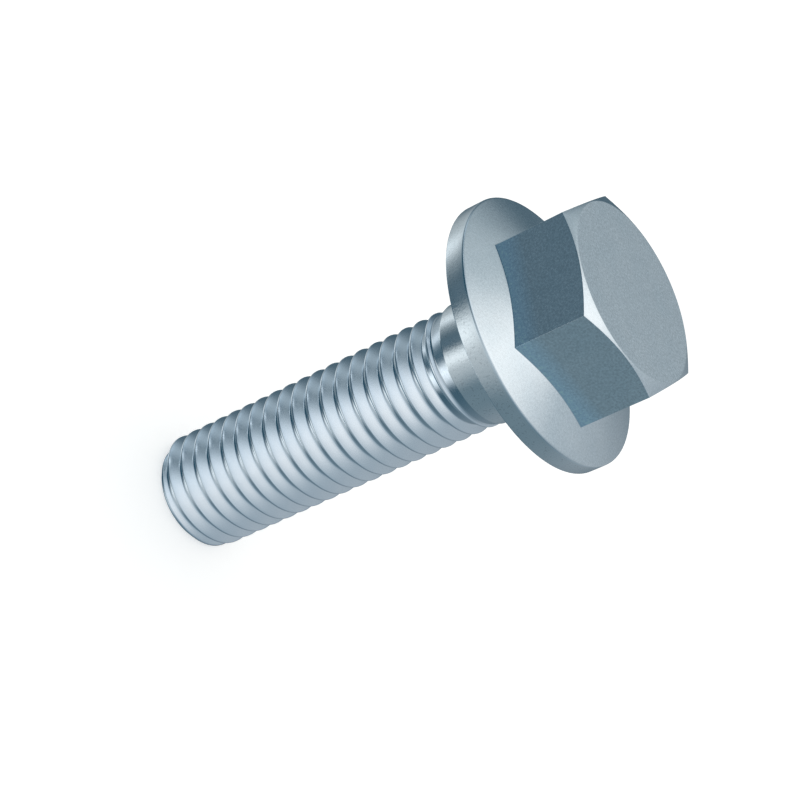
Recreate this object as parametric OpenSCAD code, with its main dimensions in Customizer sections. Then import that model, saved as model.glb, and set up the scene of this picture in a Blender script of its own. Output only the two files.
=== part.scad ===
/* [Thread] */
// Nominal diameter of the thread
thread_d = 10; // [8:1:12]
// Pitch of the right-handed thread
pitch = 1.5; // [1.25:0.25:1.75]
// Length from the bearing face to the end of the tip
bolt_length = 35; // [20:5:60]
// How far the tip's 45 degree chamfer cuts in below the crests
tip_chamfer = 0.8; // [0.4:0.05:1.4]
// Flat facets to one turn of the thread
turn_facets = 30; // [18:2:34]

/* [Head] */
// Width across the flats of the hexagon
flats = 15; // [13:0.5:16]
// Height from the bearing face to the top of the head
head_h = 9.2; // [8:0.1:12]
// Diameter of the flat circle on top of the head
top_d = 14.8; // [12.5:0.1:15]
// Slope of the chamfer round the top of the hexagon
chamfer_angle = 25; // [15:1:30]

/* [Flange] */
// Diameter of the flange
flange_d = 22.3; // [20:0.1:26]
// Height of the flange's rim above the bearing face
rim_h = 1.6; // [1:0.1:2.2]
// Rounding of the rim's lower edge
rim_round = 0.1; // [0.05:0.05:0.5]
// Slope of the flange's upper side
flange_slope = 21; // [12:1:24]

/* [Neck] */
// How much wider the plain neck is than the thread's nominal diameter
neck_over = 0.15; // [0.1:0.05:1]
// Length of the neck, from the bearing face
neck_l = 5.1; // [2:0.1:8]
// Radius of the fillet between the neck and the bearing face
fillet_r = 0.45; // [0.2:0.05:0.6]
// Slope of the cone that leads from the neck down to the root of the thread
runout_angle = 20; // [20:1:45]

/* [Hidden] */
$fn = 96;
steel = [0.66, 0.71, 0.75];

// How far the crests stay below the nominal diameter, over the whole diameter
crest_play = 0.032;
// Half of the angle between the two flanks of a groove
flank_angle = 30;
// Depth of the groove, as a share of the pitch
groove_share = 0.6134;
// Width of the crest's flat, as a share of the pitch
crest_share = 1 / 8;
// How far the foot of the ridge is sunk into the core
ridge_sink = 0.12;
// How far the core and the ridge run on below the tip before the end is cut off
end_over = 1;
// Room between the shank and the turned envelope that cuts its end
envelope_room = 1;
// How far the flange's cone runs on inside the flats of the hexagon
cone_sink = 1;

crest_r = (thread_d - crest_play) / 2;
root_r = crest_r - groove_share * pitch;
neck_r = (thread_d + neck_over) / 2;
tip_r = crest_r - tip_chamfer;
flange_r = flange_d / 2;
corner_d = flats / cos(30);

// The runout's cone reaches the root here
runout_low = -neck_l - (neck_r - root_r) / tan(runout_angle);

// The ridge's first section lies below the end of the tip, and its last one inside the neck
ridge_low = -bolt_length - end_over;
ridge_high = -neck_l;
ridge_steps = ceil((ridge_high - ridge_low) / pitch * turn_facets);
ridge_foot_r = root_r - ridge_sink;
crest_half = crest_share * pitch / 2;
ridge_foot_half = crest_half + (crest_r - ridge_foot_r) * tan(flank_angle);
// Turns the thread so that a crest crosses the XZ plane at a whole number of pitches
thread_turn = 360 * (ridge_low / pitch - floor(ridge_low / pitch));

// Section across the ridge, as radius and height
ridge_section = [
    [ridge_foot_r, -ridge_foot_half], [crest_r, -crest_half],
    [crest_r, crest_half], [ridge_foot_r, ridge_foot_half]
];

function ridge_ring(step) =
    let (turn = thread_turn + 360 * step / turn_facets, rise = ridge_low + pitch * step / turn_facets)
    [for (p = ridge_section) [p[0] * cos(turn), p[0] * sin(turn), rise + p[1]]];

// The helical ridge of the thread, swept section by section from the tip up into the neck
module thread_ridge() {
    last = 4 * ridge_steps;
    polyhedron(
        points = [for (step = [0 : ridge_steps]) each ridge_ring(step)],
        faces = concat(
            [[3, 2, 1, 0]],
            [for (step = [0 : ridge_steps - 1], k = [0 : 3])
                let (a = 4 * step + k, b = 4 * step + (k + 1) % 4)
                [a, b, b + 4, a + 4]],
            [[last, last + 1, last + 2, last + 3]]
        ),
        convexity = 10
    );
}

// Neck, runout and the thread's core, in one turned shape that runs on past the tip
module shank_core() {
    rotate_extrude() polygon([
        [0, rim_h],
        [neck_r, rim_h],
        [neck_r, -neck_l],
        [root_r, runout_low],
        [root_r, -bolt_length - end_over],
        [0, -bolt_length - end_over]
    ]);
}

// Turned shape with the flat end and the 45 degree chamfer of the tip, clear of the shank elsewhere
module tip_envelope() {
    wide_r = neck_r + envelope_room;
    rotate_extrude() polygon([
        [0, rim_h + envelope_room],
        [wide_r, rim_h + envelope_room],
        [wide_r, -bolt_length + wide_r - tip_r],
        [tip_r, -bolt_length],
        [0, -bolt_length]
    ]);
}

module shank() {
    intersection() {
        union() {
            shank_core();
            thread_ridge();
        }
        tip_envelope();
    }
}

// Ring with a hollow quarter round that joins the neck to the bearing face
module neck_fillet() {
    inner_r = neck_r - fillet_r;
    rotate_extrude() difference() {
        translate([inner_r, -fillet_r]) square([2 * fillet_r, fillet_r + rim_h / 2]);
        translate([neck_r + fillet_r, -fillet_r]) circle(r = fillet_r);
    }
}

// Flange with a flat underside, a round lower edge, a crisp upper edge and a conical upper side
module flange() {
    inner_r = flats / 2 - cone_sink;
    soft_r = flange_r - rim_round;
    rotate_extrude() union() {
        polygon([
            [0, 0],
            [soft_r, 0],
            [soft_r, rim_round],
            [flange_r, rim_round],
            [flange_r, rim_h],
            [inner_r, rim_h + (flange_r - inner_r) * tan(flange_slope)],
            [0, rim_h]
        ]);
        translate([soft_r, rim_round]) circle(r = rim_round);
    }
}

// Solid hexagon whose six corners are turned down by the chamfer
module hex_head() {
    top_r = top_d / 2;
    intersection() {
        rotate(30) cylinder(d = corner_d, h = head_h, $fn = 6);
        rotate_extrude() polygon([
            [0, 0],
            [corner_d, 0],
            [corner_d, head_h - (corner_d - top_r) * tan(chamfer_angle)],
            [top_r, head_h],
            [0, head_h]
        ]);
    }
}

// The whole bolt is forged and rolled from one piece of wire
module flange_bolt() {
    color(steel) union() {
        shank();
        neck_fillet();
        flange();
        hex_head();
    }
}

flange_bolt();
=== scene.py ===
import math

import bpy
from mathutils import Matrix, Vector


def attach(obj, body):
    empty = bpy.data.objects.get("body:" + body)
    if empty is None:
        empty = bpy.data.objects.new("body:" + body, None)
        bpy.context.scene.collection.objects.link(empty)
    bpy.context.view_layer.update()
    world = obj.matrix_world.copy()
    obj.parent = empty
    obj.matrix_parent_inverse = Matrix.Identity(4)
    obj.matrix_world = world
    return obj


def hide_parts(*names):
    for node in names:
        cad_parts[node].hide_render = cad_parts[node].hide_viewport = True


mm = 0.001
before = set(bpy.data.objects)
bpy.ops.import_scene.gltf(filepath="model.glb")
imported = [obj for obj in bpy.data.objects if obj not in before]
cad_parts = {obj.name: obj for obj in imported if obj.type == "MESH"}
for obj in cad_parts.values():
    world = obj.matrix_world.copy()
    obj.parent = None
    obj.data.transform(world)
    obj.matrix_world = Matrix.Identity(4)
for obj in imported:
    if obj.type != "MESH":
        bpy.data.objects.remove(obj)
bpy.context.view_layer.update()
print("frame loaded")

# all sizes in mm

thread = dict(
    pitch=1.5,
    crestRadius=4.984,
    depth=0.9201,
    rootRound=0.2165,   # radius in the bottom of the groove
    flankRound=4.0,     # soft bulge of the flank below the crest
    flankEase=6,        # degrees that the bulge turns
    crestRound=0.07,    # radius at both sides of the crest
    rootSteps=3,
    flankSteps=4,
    easeSteps=2,
    crestSteps=3,
    blend=0.05,         # softness where the thread meets the runout and the tip's chamfer
)

shank = dict(
    columns=144,        # strips round the axis
    length=35.0,
    tipChamfer=0.8,     # how far the tip's 45 degree chamfer cuts in below the crests
    neckRadius=5.075,
    neckLength=5.1,
    runoutSlope=20.0,
    spareTurns=2,       # turns of rows past both ends, which the climb of the thread uses up
    joinReach=0.004,    # thread rows this close to an end are joined to it
    tipRings=(0.985, 0.6, 0.25),    # inner rings of the tip's flat, as shares of its edge
)


def softMax(a, b, soft):
    # the larger of two values, with a rounded change-over
    share = max(soft - abs(a - b), 0.0) / soft
    return max(a, b) + share * share * soft / 4


def softMin(a, b, soft):
    return -softMax(-a, -b, soft)


def grooveToCrest():
    # half a tooth as (height above the groove's middle, radius), from the root over the flank to the crest
    tilt, ease = math.radians(60), math.radians(60 - thread["flankEase"])
    bends = [   # angle from, angle to, radius, steps
        (0, tilt, -thread["rootRound"], thread["rootSteps"]),
        (tilt, ease, thread["flankRound"], thread["easeSteps"]),
        (ease, 0, thread["crestRound"], thread["crestSteps"]),
    ]
    climb = sum(radius * (math.cos(end) - math.cos(start)) for start, end, radius, steps in bends)
    straight = (thread["depth"] - climb) / math.sin(tilt)
    points = [(0, thread["crestRadius"] - thread["depth"])]
    for start, end, radius, steps in bends:
        h0, r0 = points[-1]
        for step in range(1, steps + 1):
            turn = start + (end - start) * step / steps
            points.append((h0 + radius * (math.sin(start) - math.sin(turn)),
                           r0 + radius * (math.cos(turn) - math.cos(start))))
        if radius < 0:
            h0, r0 = points[-1]
            for step in range(1, thread["flankSteps"] + 1):
                t = straight * step / thread["flankSteps"]
                points.append((h0 + t * math.cos(tilt), r0 + t * math.sin(tilt)))
    return points + [(thread["pitch"] / 2, thread["crestRadius"])]


def toothRadius(height, share):
    # the plain thread's radius at a height, for a column at a share of one turn
    pitch = thread["pitch"]
    above = (height / pitch + 0.5 - share) % 1 * pitch     # over the middle of the groove below
    above = min(above, pitch - above)
    half = grooveToCrest()
    for (h0, r0), (h1, r1) in zip(half, half[1:]):
        if above <= h1:
            return r0 + (r1 - r0) * (above - h0) / (h1 - h0)
    return half[-1][1]


def shankRadius(height, radius):
    # a tooth's own radius, cut by the tip's chamfer and filled by the runout's cone
    tipRadius = thread["crestRadius"] - shank["tipChamfer"]
    fromTip, fromNeck = height + shank["length"], -shank["neckLength"] - height
    if fromTip <= 0:
        return min(radius, tipRadius)
    if fromNeck <= 0:
        return shank["neckRadius"]
    runout = shank["neckRadius"] - fromNeck * math.tan(math.radians(shank["runoutSlope"]))
    radius = softMin(radius, tipRadius + fromTip, min(thread["blend"], fromTip))
    return softMax(radius, runout, min(thread["blend"], fromNeck))


def polar(radius, angle, height):
    return (radius * math.cos(angle) * mm, radius * math.sin(angle) * mm, height * mm)


def shankRows(verts, faces):
    # rows that climb with the thread; each column keeps those between the tip's flat and the neck
    half = grooveToCrest()
    tooth = half + [(thread["pitch"] - h, r) for h, r in reversed(half[1:-1])]
    columns, perTurn = shank["columns"], len(tooth)
    pitch, low, high = thread["pitch"], -shank["length"], -shank["neckLength"]
    firstTurn = math.floor(low / pitch) - shank["spareTurns"]
    rowCount = perTurn * (math.ceil(high / pitch) - firstTurn + shank["spareTurns"])
    tip, neck = [], []
    for column in range(columns):
        angle = 2 * math.pi * column / columns
        tip.append(len(verts))
        verts.append(polar(shankRadius(low, toothRadius(low, column / columns)), angle, low))
        neck.append(len(verts))
        verts.append(polar(shank["neckRadius"], angle, high))
    index = []
    for column in range(columns):
        share = column / columns
        line = []
        for row in range(rowCount):
            above, radius = tooth[row % perTurn]
            height = pitch * (firstTurn + row // perTurn - 0.5 + share) + above
            if height <= low + shank["joinReach"]:
                line.append(tip[column])
            elif height >= high - shank["joinReach"]:
                line.append(neck[column])
            else:
                line.append(len(verts))
                verts.append(polar(shankRadius(height, radius), 2 * math.pi * share, height))
        index.append(line)
    for column in range(columns):
        here, there = index[column], index[(column + 1) % columns]
        shift = perTurn if column == columns - 1 else 0
        for row in range(rowCount - 1):
            r0, r1 = min(row + shift, rowCount - 1), min(row + 1 + shift, rowCount - 1)
            corners = [here[row], there[r0], there[r1], here[row + 1]]
            ring = [v for i, v in enumerate(corners) if v != corners[i - 1]]
            if len(set(ring)) == len(ring) >= 3:
                faces.append(ring)
    return tip, neck


def roundedLine(points):
    # points are (radius, height, rounding, steps, pull); the rounding turns a corner into an arc
    line = []
    for i, (r, h, rounding, steps, pull) in enumerate(points):
        if not rounding:
            line.append((r, h, pull))
            continue
        here = Vector((r, h))
        before = (Vector(points[i - 1][:2]) - here).normalized()
        after = (Vector(points[i + 1][:2]) - here).normalized()
        corner = before.angle(after)
        cut = rounding / math.tan(corner / 2)
        middle = here + (before + after).normalized() * rounding / math.sin(corner / 2)
        start, end = here + before * cut - middle, here + after * cut - middle
        sweep = start.angle_signed(end)
        for step in range(steps + 1):
            arm = start.copy()
            arm.rotate(Matrix.Rotation(-sweep * step / steps, 2))
            line.append((middle.x + arm.x, middle.y + arm.y, pull))
    return line


head = dict(
    filletRadius=0.45,
    flangeRadius=11.144,
    rimHeight=1.6,
    rimRound=0.1,       # rounding of the rim's lower edge
    rimEdge=0.19,       # rounding of its upper edge
    flangeSlope=21.0,
    flatHalf=7.5,       # half the width across the flats
    height=9.2,
    topRadius=7.4,
    chamferSlope=25.0,
    edgeRound=0.01,     # slight rounding of the head's edges
    footRound=0.06,     # where the flats meet the flange
    steps=dict(fillet=6, rim=6, rimEdge=4, foot=3, shoulder=4, top=2),      # strips in each rounding
    neckGuard=0.04,     # a ring this far above the neck's lower edge keeps the edge crisp
    neckRings=(-3.6, -2.0),     # heights of plain rings round the neck
    faceRings=(1.2, 2.4),       # rings on the bearing face, out from the neck and in from the rim
    rimRing=1.0,                # height of a ring round the rim
    coneRings=(0.05, 0.2, 0.4, 0.6, 0.8, 0.95),     # shares of the way from the rim to the flats
    cornersFrom=0.6,            # share of that way by which the columns have gathered at the corners
    flatRings=(0.04, 0.25, 0.5, 0.75, 0.96),        # shares of the way from the flats' foot to the chamfer
    topRings=(7.3, 6.2, 4.6, 3.0, 1.4),             # radii
)

# columns of one twelfth of the head, in degrees from a corner of the hexagon
cornerSteps = [0, 0.03, 0.06, 0.4, 1.5, 3.2, 5.8, 9, 12.8, 17, 21.3, 25.6, 30]


def hexRadius(offset):
    # distance from the axis to the hexagon's side, at an angle off its nearest corner
    rounding = head["edgeRound"]
    middle = (head["flatHalf"] - rounding) / math.cos(math.radians(30))
    across = middle * math.sin(math.radians(30))
    touch = math.radians(30) - math.atan(across / head["flatHalf"])
    if offset < touch:
        return middle * math.cos(offset) + math.sqrt(rounding ** 2 - (middle * math.sin(offset)) ** 2)
    return head["flatHalf"] / math.cos(math.radians(30) - offset)


def headLine(offset):
    # section from the neck up over the flange to the top,
    # as (radius, height, pull to the hexagon's corners)
    neck, rim, high = shank["neckRadius"], head["flangeRadius"], head["height"]
    side = hexRadius(offset)
    cone = math.tan(math.radians(head["flangeSlope"]))
    chamfer = math.tan(math.radians(head["chamferSlope"]))
    foot = head["rimHeight"] + (rim - side) * cone
    shoulder = high - (side - head["topRadius"]) * chamfer
    soft = head["edgeRound"]
    outward, inward = head["faceRings"]
    steps = head["steps"]
    points = [(neck, head["neckGuard"] - shank["neckLength"], 0, 0, 0)]
    points += [(neck, ring, 0, 0, 0) for ring in head["neckRings"]]
    points += [
        (neck, 0, head["filletRadius"], steps["fillet"], 0),
        (neck + outward, 0, 0, 0, 0),
        (rim - inward, 0, 0, 0, 0),
        (rim, 0, head["rimRound"], steps["rim"], 0),
        (rim, head["rimRing"], 0, 0, 0),
        (rim, head["rimHeight"], head["rimEdge"], steps["rimEdge"], 0),
    ]
    for share in head["coneRings"]:
        r = rim + (side - rim) * share
        points.append((r, head["rimHeight"] + (rim - r) * cone, 0, 0, min(share / head["cornersFrom"], 1)))
    points.append((side, foot, head["footRound"], steps["foot"], 1))
    for share in head["flatRings"]:
        points.append((side, foot + (shoulder - foot) * share, 0, 0, 1))
    points.append((side, shoulder, soft, steps["shoulder"], 1))
    middle = (side + head["topRadius"]) / 2
    points.append((middle, high - (middle - head["topRadius"]) * chamfer, 0, 0, 1))
    points.append((head["topRadius"], high, soft, steps["top"], 1))
    for r in head["topRings"]:
        points.append((r, high, 0, 0, 1))
    return roundedLine(points)


def headRows(verts, faces, neck):
    columns = len(neck)
    perSide = columns // 6
    index = []
    for column in range(columns):
        place = (column - perSide // 2) % perSide      # a corner of the hexagon stands at 30 degrees
        steps = min(place, perSide - place)
        offset = math.radians(cornerSteps[steps])
        even = 2 * math.pi * column / columns
        turned = offset - math.radians(60) * steps / perSide
        pulled = even + (turned if place <= perSide - place else -turned)
        line = [neck[column]]
        for r, h, pull in headLine(offset):
            line.append(len(verts))
            verts.append(polar(r, even + (pulled - even) * pull, h))
        index.append(line)
    for column in range(columns):
        here, there = index[column], index[(column + 1) % columns]
        for row in range(len(here) - 1):
            faces.append([here[row], there[row], there[row + 1], here[row + 1]])
    return [line[-1] for line in index]


def closeWithFan(verts, faces, ring, height, downward):
    verts.append((0, 0, height * mm))
    pole = len(verts) - 1
    for a, b in zip(ring, ring[1:] + ring[:1]):
        faces.append([b, a, pole] if downward else [a, b, pole])


def tipRows(verts, faces, tip):
    # the flat end of the tip, with inner rings that keep its edge crisp
    last = tip
    for share in shank["tipRings"]:
        ring = []
        for edge in tip:
            x, y, z = verts[edge]
            ring.append(len(verts))
            verts.append((x * share, y * share, z))
        for column in range(len(tip)):
            nextOne = (column + 1) % len(tip)
            faces.append([last[column], ring[column], ring[nextOne], last[nextOne]])
        last = ring
    closeWithFan(verts, faces, last, -shank["length"], True)


def makeBolt():
    verts, faces = [], []
    tip, neck = shankRows(verts, faces)
    tipRows(verts, faces, tip)
    top = headRows(verts, faces, neck)
    closeWithFan(verts, faces, top, head["height"], False)
    mesh = bpy.data.meshes.new("boltBody")
    mesh.from_pydata(verts, [], faces)
    mesh.validate()
    mesh.shade_smooth()
    piece = bpy.data.objects.new("boltBody", mesh)
    bpy.context.scene.collection.objects.link(piece)
    weighted = piece.modifiers.new("evenFaces", "WEIGHTED_NORMAL")
    weighted.weight = 90    # the broad faces lead, so the narrow strips take their shading
    return piece


# bright zinc plate: smooth on the rolled thread and the rim, with a fine forged grain above the rim
zinc = dict(
    color=(0.66, 0.73, 0.78),
    shade=(0.62, 0.70, 0.755),
    rolledTint=(0.98, 0.99, 1.015),     # the thread is a little cooler
    rolledEase=0.3,                 # mm below the neck, over which that comes in
    flangeReflectionColor=(0.67, 0.855, 1.0),   # painted bluish reflection of the flange, low on the flats
    flangeReflectionLow=3.3,                    # mm, full up to here
    flangeReflectionHigh=4.9,                   # mm, gone from here
    roughness=0.18,
    roughSpread=(-0.04, 0.05),      # added to it over the grain
    noiseSpan=(0.3, 0.7),           # the part of a noise's range that the tones are spread over
    blotchScale=420.0,
    blotchDetail=3.0,
    grainScale=6000.0,
    grainDetail=2.0,
    grainTone=(0.925, 1.075),
    coarseTone=(0.93, 1.07),        # on top of that, on the flats and the top
    flatFacing=(0.3, 0.2),          # how far up a face looks, from none of the flats' finish to all of it
    topFacing=(0.96, 0.98),         # the same for the top's finish
    grainDepth=(0.10, 0.18),        # below the grain's edge, above it
    grainFrom=1.4,                  # mm
    grainEase=0.3,                  # mm above that, over which it comes in
    dentScale=5000.0,               # shallow dents and dark specks on the neck and the rim
    dentDetail=1.0,
    dentDepth=0.28,
    dentEase=0.2,                   # mm inside both ends, over which they come in
    speckScale=6500.0,
    speckSpan=(0.26, 0.35),
    speckTone=0.84,
    reliefHeight=0.02,              # mm
)


def makeZinc():
    material = bpy.data.materials.new("brightZinc")
    material.use_nodes = True
    nodes, links = material.node_tree.nodes, material.node_tree.links
    shader = nodes["Principled BSDF"]
    shader.inputs["Metallic"].default_value = 1.0
    place = nodes.new("ShaderNodeTexCoord")

    def noise(scale, detail):
        node = nodes.new("ShaderNodeTexNoise")
        node.inputs["Scale"].default_value = scale
        node.inputs["Detail"].default_value = detail
        links.new(place.outputs["Object"], node.inputs["Vector"])
        return node.outputs["Fac"]

    def spread(source, start, end, low=0.0, high=1.0):
        node = nodes.new("ShaderNodeMapRange")
        node.inputs["From Min"].default_value = start
        node.inputs["From Max"].default_value = end
        node.inputs["To Min"].default_value = low
        node.inputs["To Max"].default_value = high
        links.new(source, node.inputs["Value"])
        return node.outputs["Result"]

    def mix(share, first, second, blend="MIX"):
        node = nodes.new("ShaderNodeMix")
        node.data_type = "RGBA"
        node.blend_type = blend
        node.clamp_result = True
        links.new(share, node.inputs["Factor"])
        for value, name in ((first, "A"), (second, "B")):
            if isinstance(value, tuple):
                node.inputs[name].default_value = (*value, 1)
            else:
                links.new(value, node.inputs[name])
        return node.outputs["Result"]

    def times(first, second):
        node = nodes.new("ShaderNodeMath")
        node.operation = "MULTIPLY"
        links.new(first, node.inputs[0])
        links.new(second, node.inputs[1])
        return node.outputs["Value"]

    spot, facing = nodes.new("ShaderNodeSeparateXYZ"), nodes.new("ShaderNodeSeparateXYZ")
    links.new(place.outputs["Object"], spot.inputs["Vector"])
    links.new(place.outputs["Normal"], facing.inputs["Vector"])
    height = spot.outputs["Z"]
    forged = spread(height, zinc["grainFrom"] * mm, (zinc["grainFrom"] + zinc["grainEase"]) * mm)
    onFlats = times(spread(facing.outputs["Z"], *zinc["flatFacing"]), forged)
    onTop = times(spread(facing.outputs["Z"], *zinc["topFacing"]), forged)
    # painted reflection of the flange: the flats turn bluer and lighter low down, beside the flange
    foot = times(onFlats, spread(height, zinc["flangeReflectionHigh"] * mm, zinc["flangeReflectionLow"] * mm))

    blotch = noise(zinc["blotchScale"], zinc["blotchDetail"])
    grain = noise(zinc["grainScale"], zinc["grainDetail"])
    color = mix(spread(blotch, *zinc["noiseSpan"]), zinc["color"], zinc["shade"])
    neckEnd = -shank["neckLength"]
    rolled = spread(height, neckEnd * mm, (neckEnd - zinc["rolledEase"]) * mm)
    color = mix(rolled, color, zinc["rolledTint"], "MULTIPLY")
    color = mix(foot, color, zinc["flangeReflectionColor"])
    color = mix(forged, color, spread(grain, *zinc["noiseSpan"], *zinc["grainTone"]), "MULTIPLY")
    for share in (onFlats, onTop):
        color = mix(share, color, spread(grain, *zinc["noiseSpan"], *zinc["coarseTone"]), "MULTIPLY")
    dented = times(spread(height, neckEnd * mm, (neckEnd + zinc["dentEase"]) * mm),
                   spread(height, zinc["grainFrom"] * mm, (zinc["grainFrom"] - zinc["dentEase"]) * mm))
    specks = spread(noise(zinc["speckScale"], 0.0), *zinc["speckSpan"], zinc["speckTone"], 1.0)
    color = mix(dented, color, specks, "MULTIPLY")
    links.new(color, shader.inputs["Base Color"])
    smooth, rough = (zinc["roughness"] + step for step in zinc["roughSpread"])
    links.new(spread(grain, *zinc["noiseSpan"], smooth, rough), shader.inputs["Roughness"])

    dents = noise(zinc["dentScale"], zinc["dentDetail"])
    reliefs = [
        (grain, spread(forged, 0.0, 1.0, *zinc["grainDepth"])),
        (dents, spread(dented, 0.0, 1.0, 0.0, zinc["dentDepth"])),
    ]
    normal = None
    for source, depth in reliefs:
        bump = nodes.new("ShaderNodeBump")
        bump.inputs["Distance"].default_value = zinc["reliefHeight"] * mm
        links.new(depth, bump.inputs["Strength"])
        links.new(source, bump.inputs["Height"])
        if normal:
            links.new(normal, bump.inputs["Normal"])
        normal = bump.outputs["Normal"]
    links.new(normal, shader.inputs["Normal"])
    return material


studio = dict(
    floorSize=6.0,      # m
    floorColor=(0.93, 0.87, 0.82),
    floorRough=0.9,
    floorGlow=0.55,
    tentTone=(0.01, 0.07, 0.11),
)


def makeFloor():
    half, height = studio["floorSize"] / 2, -shank["length"] * mm
    mesh = bpy.data.meshes.new("floor")
    corners = [(-half, -half, height), (half, -half, height), (half, half, height), (-half, half, height)]
    mesh.from_pydata(corners, [], [(0, 1, 2, 3)])
    floor = bpy.data.objects.new("floor", mesh)
    bpy.context.scene.collection.objects.link(floor)
    material = bpy.data.materials.new("paleFloor")
    material.use_nodes = True
    nodes, links = material.node_tree.nodes, material.node_tree.links
    shader = nodes["Principled BSDF"]
    shader.inputs["Base Color"].default_value = (*studio["floorColor"], 1)
    shader.inputs["Roughness"].default_value = studio["floorRough"]
    shader.inputs["Specular IOR Level"].default_value = 0.0
    shader.inputs["Emission Color"].default_value = (1, 1, 1, 1)
    # the white background: a little glow for what the camera, gloss and glass see
    path = nodes.new("ShaderNodeLightPath")
    seen = nodes.new("ShaderNodeMath")
    seen.operation = "MAXIMUM"
    links.new(path.outputs["Is Camera Ray"], seen.inputs[0])
    links.new(path.outputs["Is Glossy Ray"], seen.inputs[1])
    both = nodes.new("ShaderNodeMath")
    both.operation = "MAXIMUM"
    links.new(seen.outputs["Value"], both.inputs[0])
    links.new(path.outputs["Is Transmission Ray"], both.inputs[1])
    glow = nodes.new("ShaderNodeMath")
    glow.operation = "MULTIPLY"
    glow.inputs[1].default_value = studio["floorGlow"]
    links.new(both.outputs["Value"], glow.inputs[0])
    links.new(glow.outputs["Value"], shader.inputs["Emission Strength"])
    mesh.materials.append(material)
    floor.visible_glossy = False    # the metal mirrors the tent alone
    return floor


# soft lamps on the tent, as seen from the bolt: place and size in degrees, tone in linear light
roundLamps = [
    dict(name="top", azimuth=91, height=76, spread=31, tone=(0.73, 0.65, 0.59)),
    dict(name="behind", azimuth=105, height=48, spread=47, tone=(0.67, 0.67, 0.65)),
    dict(name="left high", azimuth=191, height=63, spread=33, tone=(0.62, 0.64, 0.66)),
    dict(name="front high", azimuth=305, height=51, spread=84, tone=(0.44, 0.47, 0.49)),
    dict(name="ceiling", azimuth=298, height=80, spread=48, tone=(0.48, 0.42, 0.38)),
    dict(name="below", azimuth=255, height=-75, spread=20, tone=(1.05, 1.05, 1.04)),
    dict(name="below rear", azimuth=102, height=-72, spread=50, tone=(0.26, 0.30, 0.32)),
    dict(name="left glint", azimuth=167, height=40, spread=11, tone=(1.05, 1.09, 1.12)),
]
stripLamps = [
    dict(name="front left", azimuth=240, height=-39, wide=23, tall=50, tone=(0.86, 0.85, 0.82)),
    dict(name="left", azimuth=162, height=-44, wide=19, tall=33, tone=(0.82, 0.83, 0.83)),
    dict(name="left wide", azimuth=153, height=-26, wide=61, tall=49, tone=(0.61, 0.59, 0.56)),
    dict(name="front", azimuth=258, height=-28, wide=50, tall=146, tone=(0.60, 0.57, 0.54)),
    dict(name="right", azimuth=-35, height=-30, wide=96, tall=46, tone=(0.195, 0.21, 0.21)),
    dict(name="rear", azimuth=45, height=16, wide=74, tall=91, tone=(0.50, 0.48, 0.47)),
    dict(name="left side", azimuth=149, height=24, wide=27, tall=23, tone=(0.58, 0.63, 0.67)),
    dict(name="gap fill", azimuth=210, height=-25, wide=15, tall=26, tone=(0.11, 0.115, 0.12)),
]


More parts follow.
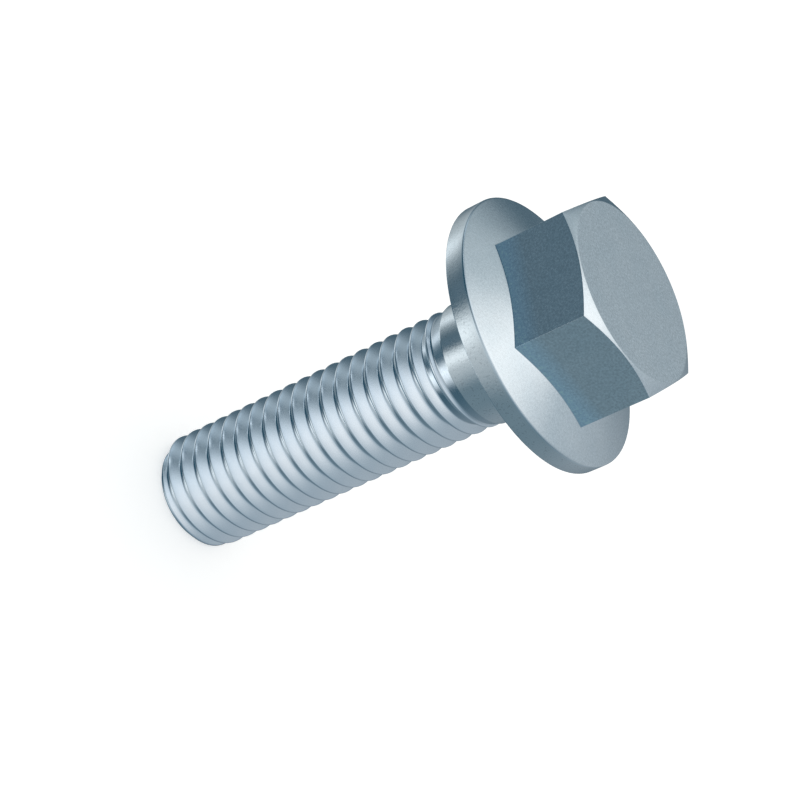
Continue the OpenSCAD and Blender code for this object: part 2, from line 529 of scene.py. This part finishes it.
def makeTent():
    world = bpy.data.worlds.new("softTent")
    bpy.context.scene.world = world
    world.use_nodes = True
    nodes, links = world.node_tree.nodes, world.node_tree.links

    def calc(kind, *inputs, vector=False):
        node = nodes.new("ShaderNodeVectorMath" if vector else "ShaderNodeMath")
        node.operation = kind
        for slot, value in zip(node.inputs, inputs):
            if isinstance(value, bpy.types.NodeSocket):
                links.new(value, slot)
            else:
                slot.default_value = value
        return node.outputs["Value"] if not vector or kind == "DOT_PRODUCT" else node.outputs["Vector"]

    def fade(distance, reach):
        # 1 at the lamp's middle, softly down to 0 at its edge
        node = nodes.new("ShaderNodeMapRange")
        node.interpolation_type = "SMOOTHSTEP"
        node.inputs["From Max"].default_value = math.radians(reach)
        node.inputs["To Min"].default_value = 1
        node.inputs["To Max"].default_value = 0
        links.new(distance, node.inputs["Value"])
        return node.outputs["Result"]

    place = nodes.new("ShaderNodeTexCoord").outputs["Generated"]
    split = nodes.new("ShaderNodeSeparateXYZ")
    links.new(place, split.inputs["Vector"])
    height = calc("ARCSINE", split.outputs["Z"])
    level = calc("NORMALIZE", calc("MULTIPLY", place, (1, 1, 0), vector=True), vector=True)
    light = None
    for lamp in roundLamps + stripLamps:
        turn, lift = math.radians(lamp["azimuth"]), math.radians(lamp["height"])
        if "spread" in lamp:
            toward = (math.cos(lift) * math.cos(turn), math.cos(lift) * math.sin(turn), math.sin(lift))
            share = fade(calc("ARCCOSINE", calc("DOT_PRODUCT", place, toward, vector=True)), lamp["spread"])
        else:
            toward = (math.cos(turn), math.sin(turn), 0)
            aside = calc("ARCCOSINE", calc("DOT_PRODUCT", level, toward, vector=True))
            above = calc("ABSOLUTE", calc("SUBTRACT", height, lift))
            share = calc("MULTIPLY", fade(aside, lamp["wide"]), fade(above, lamp["tall"]))
        light = calc("MULTIPLY_ADD", share, lamp["tone"], light or studio["tentTone"], vector=True)
    links.new(light, nodes["Background"].inputs["Color"])


view = dict(
    aimHeight=-12.943,  # mm, on the bolt's axis
    distance=171.37,    # mm
    azimuth=-90.619,
    elevation=29.705,
    roll=65.061,
    lens=96.593,
    sensor=36,
    clip=(0.005, 50),   # m
)


def makeCamera():
    camera = bpy.data.cameras.new("photoCamera")
    camera.lens = view["lens"]
    camera.sensor_width = view["sensor"]
    camera.sensor_fit = "HORIZONTAL"
    camera.clip_start, camera.clip_end = view["clip"]
    item = bpy.data.objects.new("photoCamera", camera)
    bpy.context.scene.collection.objects.link(item)
    turn, lift = math.radians(view["azimuth"]), math.radians(view["elevation"])
    away = Vector((math.cos(lift) * math.cos(turn), math.cos(lift) * math.sin(turn), math.sin(lift)))
    look = (-away).to_track_quat("-Z", "Y").to_matrix().to_4x4()
    aim = Vector((0, 0, view["aimHeight"] * mm))
    item.matrix_world = (Matrix.Translation(aim + away * view["distance"] * mm) @ look
                         @ Matrix.Rotation(math.radians(view["roll"]), 4, "Z"))
    bpy.context.scene.camera = item
    bpy.context.scene.view_settings.view_transform = "Standard"


makeCamera()
print("camera placed")
makeFloor()
makeTent()
print("studio ready")
body = makeBolt()
body.data.materials.append(makeZinc())
body.visible_glossy = False     # plain reflections: the bolt does not mirror itself
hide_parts("flange_bolt")
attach(body, "root")
print("bolt made:", len(body.data.polygons), "faces")
